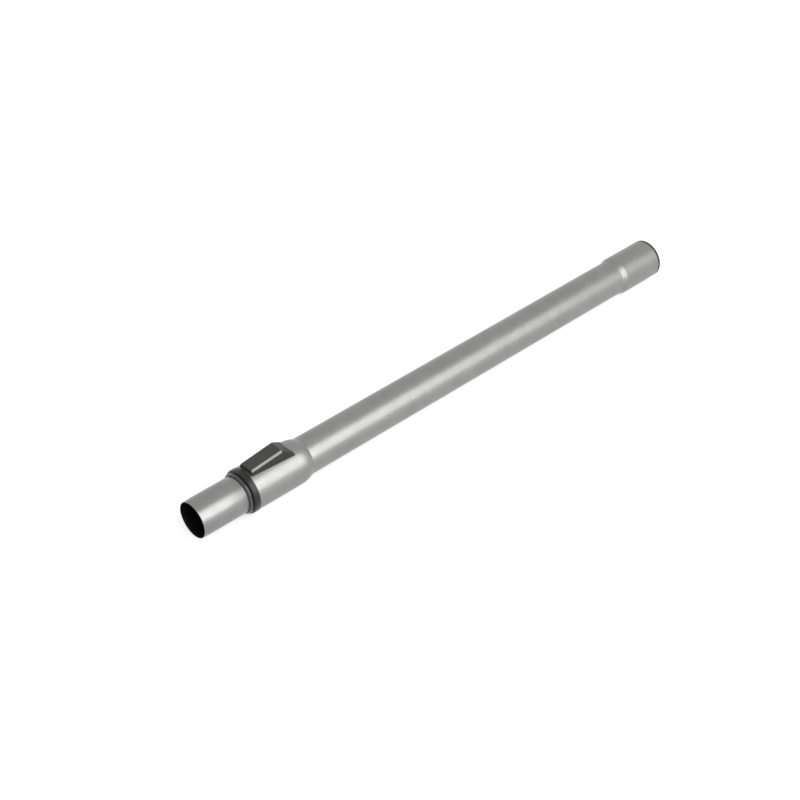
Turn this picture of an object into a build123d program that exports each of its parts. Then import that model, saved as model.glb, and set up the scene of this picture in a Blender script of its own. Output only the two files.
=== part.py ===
from build123d import *
from math import atan2, cos, radians, sin, tan
import os

# Telescopic vacuum wand, pushed together and lying flat.
# Millimetres. +X runs along the wand and out of the socket, +Z up through the slide button.
# The origin is the centre of the socket's mouth.

# Outer tube: drawn steel, swollen at the lock and flared at the socket
tube_diameter = 35.4
steel_wall = 0.6
outer_length = 526.4
lock_swell = 3.0
lock_length = 50.3
shoulder_length = 12.3
socket_swell = 1.6
socket_depth = 49.0
flare_length = 5.6
flare_bend = 4.0
window_corner = 1.0

# Inner tube: shaft, male end and the guide channel with its detents, where pressing thins the steel
shaft_gap = 1.1
male_undersize = 0.1
male_mouth_taper = 0.3
male_lead_length = 9.0
male_exposed_length = 47.9
male_stop_gap = 0.2
male_taper_length = 3.2
inner_length = 524.0
channel_width = 7.0
channel_depth = 1.8
pressed_side_wall = 0.35
pressed_floor_wall = 0.45
detent_depth = 1.2
detent_bottom = 2.4
detent_flank_draft = 40.0
detent_pitch = 25.0
detent_count = 16

# Collar ring: sloped lip, groove, wide ring and the spigot that enters the steel
lip_height = 2.0
lip_length = 2.1
lip_slope_length = 1.3
lip_edge = 0.3
groove_height = 1.0
groove_width = 1.3
ring_rise = 0.3
ring_length = 6.2
ring_front_bend = 1.8
lip_bend = 0.6
spigot_length = 3.5

# Wiper seal between the collar ring and the guide sleeve
seal_width = 2.7
seal_height = 2.4

# Guide sleeve, relieved on both sides of the lock
sleeve_length = 66.0
sleeve_body_length = 43.0
sleeve_cone_length = 9.0
key_length = 40.0
key_setback = 2.0
relief_setback = 3.0
relief_wall = 1.2
relief_bridge = 1.5
relief_height = 1.0

# Lock: roller, carriage, return springs
roller_diameter = 3.0
roller_length = 6.4
roller_station = 19.6
roller_chamfer = 0.3
roller_lift = 1.0
carriage_width = 14.0
carriage_front_reach = 12.0
carriage_rear_reach = 10.0
carriage_floor_gap = 0.1
recess_height = 1.2
spring_diameter = 2.2
spring_wire = 0.4
spring_turns = 5
spring_length = 12.0
spring_spacing = 8.0
spring_peg_length = 3.0

# Slide button
button_travel = 5.0
button_gap = 1.6
button_length = 46.1
button_ridge_station = 33.8
button_front_height = 3.55
button_ridge_height = 7.35
button_front_width = 17.0
button_rear_width = 21.4
button_flank_draft = 14.7
button_rear_slope = 34.0
button_chamfer = 1.3
button_wall = 1.6
stem_setback = 1.0
stem_length = 18.0
stem_width = 8.6
stem_seat_depth = 0.7
stem_peg_diameter = 3.0
stem_peg_length = 2.0
stem_peg_inset = 2.4

# Bush and seal at the inner tube's inner end
bush_length = 20.0
bush_end_wall = 2.0
bush_seal_width = 3.0
bush_seal_depth = 0.5
bush_seal_setback = 4.0
pip_diameter = 3.0
pip_setback = 12.0

# Socket liner
liner_length = 47.6
end_ring_thickness = 2.8
end_ring_chamfer = 0.4

# Clearances
running_clearance = 0.1
fitted_clearance = 0.1
slide_clearance = 0.15
lift_clearance = 0.3
roller_end_clearance = 0.45
cam_clearance = 0.12
stem_clearance = 0.2
nest_clearance = 0.3
peg_clearance = 0.05

# Radii and places that follow from the sizes above
tube_radius = tube_diameter / 2
tube_bore = tube_radius - steel_wall
lock_radius = tube_radius + lock_swell
lock_bore = lock_radius - steel_wall
socket_radius = tube_radius + socket_swell
socket_bore = socket_radius - steel_wall
shaft_radius = tube_bore - shaft_gap
shaft_bore = shaft_radius - steel_wall
male_radius = tube_radius - male_undersize
male_mouth_radius = male_radius - male_mouth_taper

lip_radius = male_radius + lip_height
groove_radius = male_radius + groove_height
ring_radius = lock_radius + ring_rise
recess_floor = shaft_radius + recess_height
stem_seat = lock_bore - stem_seat_depth

steel_front = -outer_length
steel_end = -end_ring_thickness
lock_end = steel_front + lock_length
shoulder_end = lock_end + shoulder_length
flare_end = -socket_depth
flare_start = flare_end - flare_length

ring_front = steel_front - ring_length
groove_front = ring_front - groove_width
lip_front = groove_front - lip_length
spigot_end = steel_front + spigot_length

inner_mouth = lip_front - male_exposed_length
male_end = lip_front - male_stop_gap
taper_end = male_end + male_taper_length
inner_end = inner_mouth + inner_length

roller_x = steel_front + roller_station
roller_radius = roller_diameter / 2
channel_floor = shaft_radius - channel_depth
roller_z = channel_floor + lift_clearance + roller_radius

detent_flank = detent_depth * tan(radians(detent_flank_draft))
slide_travel = (detent_count - 1) * detent_pitch

sleeve_front = spigot_end
sleeve_bore = shaft_radius + running_clearance
sleeve_radius = lock_bore - fitted_clearance
sleeve_tail_radius = tube_bore - fitted_clearance
sleeve_end = sleeve_front + sleeve_length
key_front = sleeve_front + key_setback
key_end = key_front + key_length
key_width = channel_width - 2 * slide_clearance
key_floor = channel_floor + lift_clearance

channel_front = steel_front - channel_width / 2
channel_end = key_end + slide_travel + channel_width / 2 + slide_clearance
channel_length = channel_end - channel_front
channel_middle = (channel_front + channel_end) / 2

carriage_front = roller_x - carriage_front_reach
carriage_end = roller_x + carriage_rear_reach
carriage_floor = recess_floor + carriage_floor_gap
carriage_radius = lock_bore - slide_clearance
recess_front = carriage_front - lift_clearance
recess_end = carriage_end + button_travel + lift_clearance
spring_end = carriage_end + spring_length
spring_z = recess_floor + slide_clearance + spring_diameter / 2

button_front = steel_front + button_gap
button_end = button_front + button_length
button_seat = lock_radius + slide_clearance
stem_front = carriage_front + stem_setback
stem_end = stem_front + stem_length
stem_middle = (stem_front + stem_end) / 2
window_front = stem_front - lift_clearance
window_end = stem_end + button_travel + lift_clearance
window_width = stem_width + 2 * stem_clearance

bush_end = inner_end + bush_end_wall
bush_front = bush_end - bush_length
bush_radius = tube_bore - running_clearance
bush_bore = shaft_radius + peg_clearance
pip_x = bush_front + pip_setback

os.makedirs("parts", exist_ok=True)


def pressed_channel(side, floor):
    """The guide channel and its detents as a solid, grown by side across and by floor downwards."""
    with BuildPart() as form:
        with BuildSketch(Plane.XY.offset(channel_floor - floor)):
            with Locations((channel_middle, 0)):
                SlotOverall(channel_length + 2 * side, channel_width + 2 * side)
        extrude(amount=shaft_radius)
        with BuildSketch(Plane.XZ):
            for step in range(detent_count):
                with Locations((roller_x + step * detent_pitch, channel_floor)):
                    Polygon(
                        (-detent_bottom / 2, -detent_depth),
                        (detent_bottom / 2, -detent_depth),
                        (detent_bottom / 2 + 2 * detent_flank, detent_depth),
                        (-detent_bottom / 2 - 2 * detent_flank, detent_depth),
                        align=None,
                    )
            offset(amount=floor, kind=Kind.INTERSECTION)
        extrude(amount=channel_width / 2 + side, both=True)
    return form.part


channel_outside = pressed_channel(0, 0)
channel_inside = pressed_channel(pressed_side_wall, pressed_floor_wall)

with BuildPart() as inner_bore:
    with BuildSketch(Plane.XZ):
        with BuildLine():
            Polyline(
                (inner_mouth - steel_wall, 0),
                (inner_mouth - steel_wall, male_mouth_radius - steel_wall),
                (inner_mouth, male_mouth_radius - steel_wall),
                (inner_mouth + male_lead_length, male_radius - steel_wall),
                (male_end - steel_wall / 2, male_radius - steel_wall),
                (taper_end - steel_wall / 2, shaft_bore),
                (inner_end + steel_wall, shaft_bore),
                (inner_end + steel_wall, 0),
                close=True,
            )
        make_face()
    revolve(axis=Axis.X)
    add(channel_inside, mode=Mode.SUBTRACT)

with BuildPart() as inner_tube:
    with BuildSketch(Plane.XZ):
        with BuildLine():
            Polyline(
                (inner_mouth, 0),
                (inner_mouth, male_mouth_radius),
                (inner_mouth + male_lead_length, male_radius),
                (male_end, male_radius),
                (taper_end, shaft_radius),
                (inner_end, shaft_radius),
                (inner_end, 0),
                close=True,
            )
        make_face()
    revolve(axis=Axis.X)
    add(channel_outside, mode=Mode.SUBTRACT)
    add(inner_bore.part, mode=Mode.SUBTRACT)
    with Locations((pip_x, 0, 0)):
        Cylinder(pip_diameter / 2, tube_diameter, rotation=(90, 0, 0), mode=Mode.SUBTRACT)
inner_tube.part.label = "inner_tube"

with BuildPart() as outer_tube:
    with BuildSketch(Plane.XZ):
        with BuildLine():
            Line((steel_front, lock_radius), (lock_end, lock_radius))
            TangentArc((lock_end, lock_radius), (shoulder_end, tube_radius), tangent=(1, 0))
            FilletPolyline(
                (shoulder_end, tube_radius),
                (flare_start, tube_radius),
                (flare_end, socket_radius),
                (steel_end, socket_radius),
                radius=flare_bend,
            )
            Polyline(
                (steel_end, socket_radius),
                (steel_end, 0),
                (steel_front, 0),
                (steel_front, lock_radius),
            )
        make_face()
    revolve(axis=Axis.X)
    with BuildSketch(Plane.XZ):
        with BuildLine():
            Line((steel_front, lock_bore), (lock_end, lock_bore))
            TangentArc((lock_end, lock_bore), (shoulder_end, tube_bore), tangent=(1, 0))
            FilletPolyline(
                (shoulder_end, tube_bore),
                (flare_start, tube_bore),
                (flare_end, socket_bore),
                (steel_end, socket_bore),
                radius=flare_bend,
            )
            Polyline(
                (steel_end, socket_bore),
                (steel_end, 0),
                (steel_front, 0),
                (steel_front, lock_bore),
            )
        make_face()
    revolve(axis=Axis.X, mode=Mode.SUBTRACT)
    with BuildSketch(Plane.XY):
        with Locations(((window_front + window_end) / 2, 0)):
            RectangleRounded(window_end - window_front, window_width, window_corner)
    extrude(amount=2 * lock_radius, mode=Mode.SUBTRACT)
outer_tube.part.label = "outer_tube"

with BuildPart() as collar_ring:
    with BuildSketch(Plane.XZ):
        with BuildLine():
            FilletPolyline(
                (lip_front, male_radius + nest_clearance),
                (lip_front, male_radius + nest_clearance + lip_edge),
                (lip_front + lip_slope_length, lip_radius),
                (groove_front, lip_radius),
                (groove_front, groove_radius),
                (ring_front, groove_radius),
                (ring_front, ring_radius),
                (steel_front, ring_radius),
                (steel_front, sleeve_radius),
                radius=(0, lip_bend, 0, 0, 0, ring_front_bend, 0),
            )
            Polyline(
                (steel_front, sleeve_radius),
                (spigot_end, sleeve_radius),
                (spigot_end, sleeve_bore + seal_height),
                (spigot_end - seal_width - peg_clearance, sleeve_bore + seal_height),
                (spigot_end - seal_width - peg_clearance, sleeve_bore),
                (taper_end + nest_clearance, sleeve_bore),
                (male_end + nest_clearance, male_radius + nest_clearance),
                (lip_front, male_radius + nest_clearance),
            )
        make_face()
    revolve(axis=Axis.X)
collar_ring.part.label = "collar_ring"

with BuildPart() as wiper_seal:
    with BuildSketch(Plane.YZ.offset(spigot_end - seal_width)):
        Circle(sleeve_bore + seal_height - peg_clearance)
        Circle(sleeve_bore, mode=Mode.SUBTRACT)
        with Locations((0, (key_floor + sleeve_bore) / 2)):
            Rectangle(key_width, sleeve_bore - key_floor)
    extrude(amount=seal_width)
wiper_seal.part.label = "wiper_seal"

relief_front = sleeve_front + relief_setback
relief_inner = carriage_width / 2 + slide_clearance + relief_bridge

with BuildPart() as sleeve_relief:
    with BuildSketch(Plane.YZ.offset(relief_front)):
        Circle(lock_radius)
        Circle(sleeve_bore + relief_wall, mode=Mode.SUBTRACT)
        with Locations((0, relief_height + lock_radius / 2)):
            Rectangle(2 * lock_radius, lock_radius, mode=Mode.INTERSECT)
        Rectangle(2 * relief_inner, 2 * lock_radius, mode=Mode.SUBTRACT)
    extrude(amount=sleeve_end - relief_front)

with BuildPart() as guide_sleeve:
    with BuildSketch(Plane.XZ):
        with BuildLine():
            Polyline(
                (sleeve_front, sleeve_bore),
                (sleeve_front, sleeve_radius),
                (sleeve_front + sleeve_body_length, sleeve_radius),
                (sleeve_front + sleeve_body_length + sleeve_cone_length, sleeve_tail_radius),
                (sleeve_end, sleeve_tail_radius),
                (sleeve_end, sleeve_bore),
                close=True,
            )
        make_face()
    revolve(axis=Axis.X)
    add(sleeve_relief.part, mode=Mode.SUBTRACT)
    with BuildSketch(Plane.XY.offset(key_floor)):
        with Locations(((key_front + key_end) / 2, 0)):
            Rectangle(key_length, key_width)
    extrude(amount=recess_floor - key_floor)
    with BuildSketch(Plane.XY.offset(recess_floor)):
        with Locations(((recess_front + recess_end) / 2, 0)):
            Rectangle(recess_end - recess_front, carriage_width + 2 * slide_clearance)
        with Locations(((recess_end + spring_end) / 2, 0)):
            with GridLocations(0, spring_spacing, 1, 2):
                Rectangle(spring_end - recess_end, spring_diameter + 2 * stem_clearance)
    extrude(amount=lock_radius, mode=Mode.SUBTRACT)
    with BuildSketch(Plane.XY):
        with Locations((roller_x, 0)):
            Rectangle(roller_diameter + 2 * slide_clearance, roller_length + 2 * roller_end_clearance)
    extrude(amount=lock_radius, mode=Mode.SUBTRACT)
guide_sleeve.part.label = "guide_sleeve"

with BuildPart() as lock_roller:
    with BuildSketch(Plane.XZ.offset(-roller_length / 2)):
        with Locations((roller_x, roller_z)):
            Circle(roller_radius)
    extrude(amount=roller_length)
    chamfer(lock_roller.edges(), roller_chamfer)
lock_roller.part.label = "lock_roller"

ramp_angle = atan2(roller_lift, button_travel)
ramp_reach = roller_radius + cam_clearance
ramp_x = roller_x + ramp_reach * sin(ramp_angle)
ramp_z = roller_z + ramp_reach * cos(ramp_angle)
pocket_front = roller_x - button_travel - roller_radius - lift_clearance
pocket_end = ramp_x + (ramp_z - carriage_floor) / tan(ramp_angle)
pocket_top = ramp_z + (ramp_x - pocket_front) * tan(ramp_angle)

with BuildPart() as slide_carriage:
    with BuildSketch(Plane.YZ.offset(carriage_front)):
        Circle(carriage_radius)
        with Locations((0, carriage_floor + lock_radius / 2)):
            Rectangle(carriage_width, lock_radius, mode=Mode.INTERSECT)
    extrude(amount=carriage_end - carriage_front)
    with BuildSketch(Plane.XY.offset(stem_seat)):
        with Locations((stem_middle, 0)):
            Rectangle(stem_length + 2 * peg_clearance, stem_width + 2 * peg_clearance)
    extrude(amount=lock_radius, mode=Mode.SUBTRACT)
    with BuildSketch(Plane.XZ):
        with BuildLine():
            Polyline(
                (pocket_end, carriage_floor),
                (pocket_front, pocket_top),
                (pocket_front, carriage_floor),
                close=True,
            )
        make_face()
    extrude(amount=roller_length / 2 + roller_end_clearance, both=True, mode=Mode.SUBTRACT)
    with BuildSketch(Plane.XY.offset(stem_seat)):
        with Locations((stem_middle, 0)):
            with GridLocations(stem_length - 2 * stem_peg_inset, 0, 2, 1):
                Circle(stem_peg_diameter / 2 + peg_clearance)
    extrude(amount=-lock_radius, mode=Mode.SUBTRACT)
    with BuildSketch(Plane.YZ.offset(carriage_end)):
        with Locations((0, spring_z)):
            with GridLocations(spring_spacing, 0, 2, 1):
                Circle(spring_diameter / 2 - spring_wire - peg_clearance)
    extrude(amount=spring_peg_length)
slide_carriage.part.label = "slide_carriage"

front_top = lock_radius + button_front_height
ridge_top = lock_radius + button_ridge_height
ridge_x = button_front + button_ridge_station
rear_drop = (button_end - ridge_x) * tan(radians(button_rear_slope))
front_half = button_front_width / 2
rear_half = button_rear_width / 2
front_base = (lock_radius**2 - front_half**2) ** 0.5
rear_base = (lock_radius**2 - rear_half**2) ** 0.5
flank_in = sin(radians(button_flank_draft))
flank_up = cos(radians(button_flank_draft))


def button_form(inset):
    """The wedge of the slide button down to the wand's axis, with each of its sides moved in by inset."""
    with BuildPart() as form:
        with BuildSketch(Plane.XZ):
            with BuildLine():
                Polyline(
                    (button_front, 0),
                    (button_front, front_top),
                    (ridge_x, ridge_top),
                    (button_end, ridge_top - rear_drop),
                    (button_end, 0),
                    close=True,
                )
            make_face()
            offset(amount=-inset, kind=Kind.INTERSECTION)
        extrude(amount=button_rear_width, both=True)
        for side in (1, -1):
            along = Vector(button_length, side * (rear_half - front_half), rear_base - front_base)
            inward = Vector(0, -side * flank_in, flank_up)
            flank = Plane(
                origin=(button_front, side * front_half, front_base),
                x_dir=along,
                z_dir=along.cross(inward) * side,
            )
            split(bisect_by=flank.offset(inset), keep=Keep.TOP)
    return form.part


with BuildPart() as button_hollow:
    add(button_form(button_wall))
    with BuildSketch(Plane.XY):
        with Locations((stem_middle, 0)):
            RectangleRounded(stem_length, stem_width, window_corner - stem_clearance)
    extrude(amount=2 * lock_radius, mode=Mode.SUBTRACT)

with BuildPart() as slide_button:
    add(button_form(0))
    ridge_edges = slide_button.faces().filter_by(
        lambda face: face.normal_at().Z > 0.9 and face.normal_at().X < 0
    ).sort_by(Axis.Z)[-1].edges().filter_by(lambda edge: edge.length > button_ridge_station / 2)
    chamfer(ridge_edges, button_chamfer)
    with BuildSketch(Plane.YZ.offset(button_front)):
        Circle(button_seat)
    extrude(amount=button_length, mode=Mode.SUBTRACT)
    add(button_hollow.part, mode=Mode.SUBTRACT)
    with BuildSketch(Plane.XY.offset(stem_seat)):
        with Locations((stem_middle, 0)):
            RectangleRounded(stem_length, stem_width, window_corner - stem_clearance)
    extrude(amount=front_top - stem_seat)
    with BuildSketch(Plane.XY.offset(stem_seat)):
        with Locations((stem_middle, 0)):
            with GridLocations(stem_length - 2 * stem_peg_inset, 0, 2, 1):
                Circle(stem_peg_diameter / 2)
    extrude(amount=-stem_peg_length)
slide_button.part.label = "slide_button"

with BuildPart() as inner_end_bush:
    with BuildSketch(Plane.XZ):
        with BuildLine():
            Polyline(
                (bush_front, bush_bore),
                (bush_front, bush_radius),
                (bush_end, bush_radius),
                (bush_end, shaft_bore),
                (inner_end, shaft_bore),
                (inner_end, bush_bore),
                close=True,
            )
        make_face()
    revolve(axis=Axis.X)
    with BuildSketch(Plane.YZ.offset(bush_front + bush_seal_setback)):
        Circle(tube_radius)
        Circle(bush_radius - bush_seal_depth, mode=Mode.SUBTRACT)
    extrude(amount=bush_seal_width, mode=Mode.SUBTRACT)
    for side in (1, -1):
        with BuildSketch(Plane.XZ.offset(-side * (shaft_bore + running_clearance))):
            with Locations((pip_x, 0)):
                Circle(pip_diameter / 2 - peg_clearance)
        extrude(amount=-side * steel_wall)
inner_end_bush.part.label = "inner_end_bush"

with BuildPart() as inner_end_seal:
    with BuildSketch(Plane.YZ.offset(bush_front + bush_seal_setback + peg_clearance)):
        Circle(bush_radius)
        Circle(bush_radius - bush_seal_depth + peg_clearance, mode=Mode.SUBTRACT)
    extrude(amount=bush_seal_width - 2 * peg_clearance)
inner_end_seal.part.label = "inner_end_seal"

with BuildPart() as socket_liner:
    with BuildSketch(Plane.XZ):
        with BuildLine():
            Polyline(
                (steel_end, socket_radius),
                (-end_ring_chamfer, socket_radius),
                (0, socket_radius - end_ring_chamfer),
                (0, tube_radius),
                (-liner_length, tube_radius),
                (-liner_length, socket_bore - fitted_clearance),
                (steel_end, socket_bore - fitted_clearance),
                close=True,
            )
        make_face()
    revolve(axis=Axis.X)
socket_liner.part.label = "socket_liner"

springs = {}
for spring_name, side in (("return_spring_left", 1), ("return_spring_right", -1)):
    coil_radius = (spring_diameter - spring_wire) / 2
    coil_length = spring_length - 2 * spring_wire
    coil_start = (carriage_end + spring_wire, side * spring_spacing / 2, spring_z)
    with BuildPart() as return_spring:
        with BuildLine() as coil:
            Helix(
                coil_length / spring_turns, coil_length, coil_radius, coil_start, direction=(1, 0, 0)
            )
        with BuildSketch(Plane(origin=coil.line @ 0, x_dir=(1, 0, 0), z_dir=coil.line % 0)):
            Rectangle(spring_wire, spring_wire)
        sweep(path=coil.line, is_frenet=True)
    return_spring.part.label = spring_name
    springs[spring_name] = return_spring.part

pieces = (
    outer_tube.part,
    inner_tube.part,
    collar_ring.part,
    wiper_seal.part,
    guide_sleeve.part,
    lock_roller.part,
    slide_carriage.part,
    slide_button.part,
    inner_end_bush.part,
    inner_end_seal.part,
    socket_liner.part,
    *springs.values(),
)
for piece in pieces:
    export_step(piece, f"parts/{piece.label}.step")
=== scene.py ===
"""A telescopic vacuum wand in a plain studio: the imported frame, dressed with its surfaces and finishes."""

import logging
from dataclasses import dataclass
from enum import Enum
from math import asin, cos, pi, radians, sin, tan

import bmesh
import bpy
import numpy as np
from mathutils import Matrix, Vector


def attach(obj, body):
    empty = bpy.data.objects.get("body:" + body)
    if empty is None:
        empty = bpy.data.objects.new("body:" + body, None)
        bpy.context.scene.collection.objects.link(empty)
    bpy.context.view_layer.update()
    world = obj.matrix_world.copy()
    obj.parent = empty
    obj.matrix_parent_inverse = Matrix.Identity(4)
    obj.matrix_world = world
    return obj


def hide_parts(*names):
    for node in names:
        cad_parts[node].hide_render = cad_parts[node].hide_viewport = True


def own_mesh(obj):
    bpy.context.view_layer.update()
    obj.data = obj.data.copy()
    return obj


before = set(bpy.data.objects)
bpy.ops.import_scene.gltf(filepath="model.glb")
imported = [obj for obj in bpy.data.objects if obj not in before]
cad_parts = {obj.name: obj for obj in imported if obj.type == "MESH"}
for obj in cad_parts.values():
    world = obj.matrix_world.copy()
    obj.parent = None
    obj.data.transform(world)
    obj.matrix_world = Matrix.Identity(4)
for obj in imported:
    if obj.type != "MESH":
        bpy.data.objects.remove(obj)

MM = 0.001
NOISE_LOW, NOISE_HIGH = 0.3, 0.7
ROUGHNESS_SPREAD = 0.05
LOG = logging.getLogger("wand")

Finish = bpy.types.Material
Piece = bpy.types.Object
Socket = bpy.types.NodeSocket
Triple = tuple[float, float, float]


class Slot(Enum):
    """The record's material slots."""

    OUTER_STEEL = "outer_steel"
    INNER_STEEL = "inner_steel"
    COLLAR = "collar_plastic"
    SEAL = "seal_rubber"
    SLEEVE = "sleeve_plastic"
    ROLLER = "roller_steel"
    CARRIAGE = "carriage_plastic"
    BUTTON = "button_plastic"
    SPRING = "spring_steel"
    BUSH = "bush_plastic"
    LINER = "liner_plastic"


class Body(Enum):
    """The bodies of the frame that pieces ride on."""

    OUTER = "outer"
    INNER = "inner"
    BUTTON = "button"
    LOCK = "lock"


# Surfaces


def rounded(points: np.ndarray, radii: np.ndarray, steps: int = 5) -> np.ndarray:
    """Rounds the corners of a closed outline with true arcs.

    At a corner B with unit vectors u and v towards its neighbours, half the angle between them is h.
    The arc of radius r is centred at B + (u + v) / |u + v| * r / sin(h), and it runs from B + u r / tan(h)
    to B + v r / tan(h). Its points turn evenly between those two ends.

    Args:
        points: The corners, one (x, r) pair a row.
        radii: One radius a corner, 0 for a sharp one.
        steps: The number of spans in each arc.

    Returns:
        The outline's points in order, without repeats.
    """
    u = np.roll(points, 1, axis=0) - points
    v = np.roll(points, -1, axis=0) - points
    u /= np.linalg.norm(u, axis=1, keepdims=True)
    v /= np.linalg.norm(v, axis=1, keepdims=True)
    half = np.arccos(np.clip((u * v).sum(1), -1, 1)) / 2
    reach = radii / np.tan(half)
    middle = u + v
    middle /= np.maximum(np.linalg.norm(middle, axis=1, keepdims=True), 1e-9)
    centre = points + middle * (radii / np.sin(half))[:, None]
    start = points + u * reach[:, None] - centre
    end = points + v * reach[:, None] - centre
    turn = np.maximum(pi - 2 * half, 1e-6)[:, None]
    share = np.linspace(0, 1, steps + 1)[None, :]
    from_start = np.sin((1 - share) * turn) / np.sin(turn)
    from_end = np.sin(share * turn) / np.sin(turn)
    arcs = centre[:, None] + from_start[..., None] * start[:, None] + from_end[..., None] * end[:, None]
    line = arcs.reshape(-1, 2)
    new = np.linalg.norm(line - np.roll(line, 1, axis=0), axis=1) > 1e-4
    return line[new]


def ring_quads(rows: int, columns: int) -> np.ndarray:
    """Corner numbers of the quads on a grid that closes on itself both ways.

    Args:
        rows: Points along the outline.
        columns: Points around the axis.

    Returns:
        An array of shape (rows, columns, 4).
    """
    row = np.arange(rows)[:, None]
    column = np.arange(columns)[None, :]
    here, below = row * columns, ((row + 1) % rows) * columns
    after = (column + 1) % columns
    return np.stack((here + column, below + column, below + after, here + after), axis=-1)


def turned(outline: np.ndarray, angles: np.ndarray) -> np.ndarray:
    """Turns an outline about the wand's axis: the point (x, r) goes to (x, r sin t, r cos t).

    Args:
        outline: The (x, r) points, in mm.
        angles: The angles t, in radians from the button's side.

    Returns:
        A grid of points of shape (outline, angles, 3), in mm.
    """
    x = np.repeat(outline[:, :1], len(angles), axis=1)
    return np.stack((x, outline[:, 1:] * np.sin(angles), outline[:, 1:] * np.cos(angles)), axis=-1)


def even_angles(count: int) -> np.ndarray:
    """Evenly spaced angles round a full turn."""
    return np.arange(count) * (2 * pi / count)


def make_piece(
    name: str, points: np.ndarray, faces: np.ndarray, *materials: Finish, sharp_deg: float = 40.0
) -> Piece:
    """Puts a worked-out surface into a mesh object at the origin.

    Args:
        name: The piece's name.
        points: The vertices in mm, in any grid shape that ends in 3.
        faces: The quads' corner numbers, in any grid shape that ends in 4.
        materials: The piece's finishes, the usual one first.
        sharp_deg: Edges that turn by more than this stay crisp.

    Returns:
        The new object, linked to the scene.
    """
    mesh = bpy.data.meshes.new(name)
    mesh.from_pydata(points.reshape(-1, 3) * MM, [], faces.reshape(-1, 4))
    work = bmesh.new()
    work.from_mesh(mesh)
    bmesh.ops.remove_doubles(work, verts=work.verts, dist=0.002 * MM)
    bmesh.ops.dissolve_degenerate(work, edges=work.edges, dist=0.001 * MM)
    bmesh.ops.recalc_face_normals(work, faces=work.faces)
    work.to_mesh(mesh)
    work.free()
    mesh.shade_smooth()
    mesh.set_sharp_from_angle(angle=radians(sharp_deg))
    for material in materials:
        mesh.materials.append(material)
    piece = bpy.data.objects.new(name, mesh)
    bpy.context.scene.collection.objects.link(piece)
    return piece


def turned_ring(
    name: str, corners: np.ndarray, steps: int, *materials: Finish, columns: int = 160
) -> Piece:
    """Makes a piece by rounding an outline and turning it about the axis.

    Args:
        name: The piece's name.
        corners: The outline's corners, one (x, r, corner radius) a row.
        steps: The number of spans in each rounded corner.
        materials: The piece's finishes, the usual one first.
        columns: Points around the axis.

    Returns:
        The new object.
    """
    outline = rounded(corners[:, :2], corners[:, 2], steps=steps)
    return make_piece(
        name, turned(outline, even_angles(columns)), ring_quads(len(outline), columns), *materials
    )


def face_values(mesh: bpy.types.Mesh, what: str, size: int) -> np.ndarray:
    """One property of every face, such as its centre, as an array of rows."""
    values = np.empty(len(mesh.polygons) * size, np.float32)
    mesh.polygons.foreach_get(what, values)
    return values.reshape(-1, size)


def give_second_finish(piece: Piece, faces: np.ndarray) -> None:
    """Gives the marked faces the second of the piece's finishes."""
    piece.data.polygons.foreach_set("material_index", faces.astype(np.int32))


def stand_for(piece: Piece, node: str, body: Body) -> None:
    """Lets a piece stand for a node of the frame and ride on its body."""
    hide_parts(node)
    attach(piece, body.value)
    LOG.info("%s stands for %s: %d faces", piece.name, node, len(piece.data.polygons))


def dress_node(node: str, material: Finish) -> None:
    """Gives a node of the frame its finish and leaves its mesh alone."""
    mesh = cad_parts[node].data
    mesh.materials.clear()
    mesh.materials.append(material)
    LOG.info("%s keeps its solid and wears %s", node, material.name)


# Effects that several finishes share


class EffectGroup:
    """A shader node group with named inputs and outputs, built once and used in many materials."""

    def __init__(self, name: str, inputs: dict[str, float], outputs: tuple[str, ...]) -> None:
        """Makes the empty group.

        Args:
            name: The group's name.
            inputs: Each input's name and usual value.
            outputs: The names of the values that it puts out.
        """
        self.tree = bpy.data.node_groups.new(name, "ShaderNodeTree")
        for label, value in inputs.items():
            socket = self.tree.interface.new_socket(name=label, in_out="INPUT", socket_type="NodeSocketFloat")
            socket.default_value = value
        for label in outputs:
            self.tree.interface.new_socket(name=label, in_out="OUTPUT", socket_type="NodeSocketFloat")
        self.given = self.tree.nodes.new("NodeGroupInput").outputs
        self.result = self.tree.nodes.new("NodeGroupOutput").inputs
        self.place = self.tree.nodes.new("ShaderNodeTexCoord").outputs["Object"]

    def add(self, kind: str, **settings: object) -> bpy.types.Node:
        """Adds a node of that kind with its settings."""
        node = self.tree.nodes.new(kind)
        for key, value in settings.items():
            setattr(node, key, value)
        return node

    def link(self, source: Socket, target: Socket) -> None:
        """Joins an output to an input."""
        self.tree.links.new(source, target)

    def noise(
        self,
        scale: float | str,
        detail: float = 2.0,
        roughness: float = 0.5,
        place: Socket | None = None,
    ) -> Socket:
        """Adds a 3-D noise.

        Args:
            scale: Its scale, or the name of the group's input that gives it.
            detail: How many sizes it adds up.
            roughness: How strong the small sizes are.
            place: Where it is looked up, if not at the plain place on the piece.

        Returns:
            The noise's value.
        """
        node = self.add("ShaderNodeTexNoise", noise_dimensions="3D")
        node.inputs["Detail"].default_value = detail
        node.inputs["Roughness"].default_value = roughness
        if isinstance(scale, str):
            self.link(self.given[scale], node.inputs["Scale"])
        else:
            node.inputs["Scale"].default_value = scale
        self.link(place or self.place, node.inputs["Vector"])
        return node.outputs["Fac"]

    def math(
        self,
        operation: str,
        first: Socket,
        second: Socket | float | None = None,
    ) -> Socket:
        """Works out a value from one or two others."""
        node = self.add("ShaderNodeMath", operation=operation)
        self.link(first, node.inputs[0])
        if isinstance(second, float):
            node.inputs[1].default_value = second
        elif second:
            self.link(second, node.inputs[1])
        return node.outputs[0]


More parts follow.
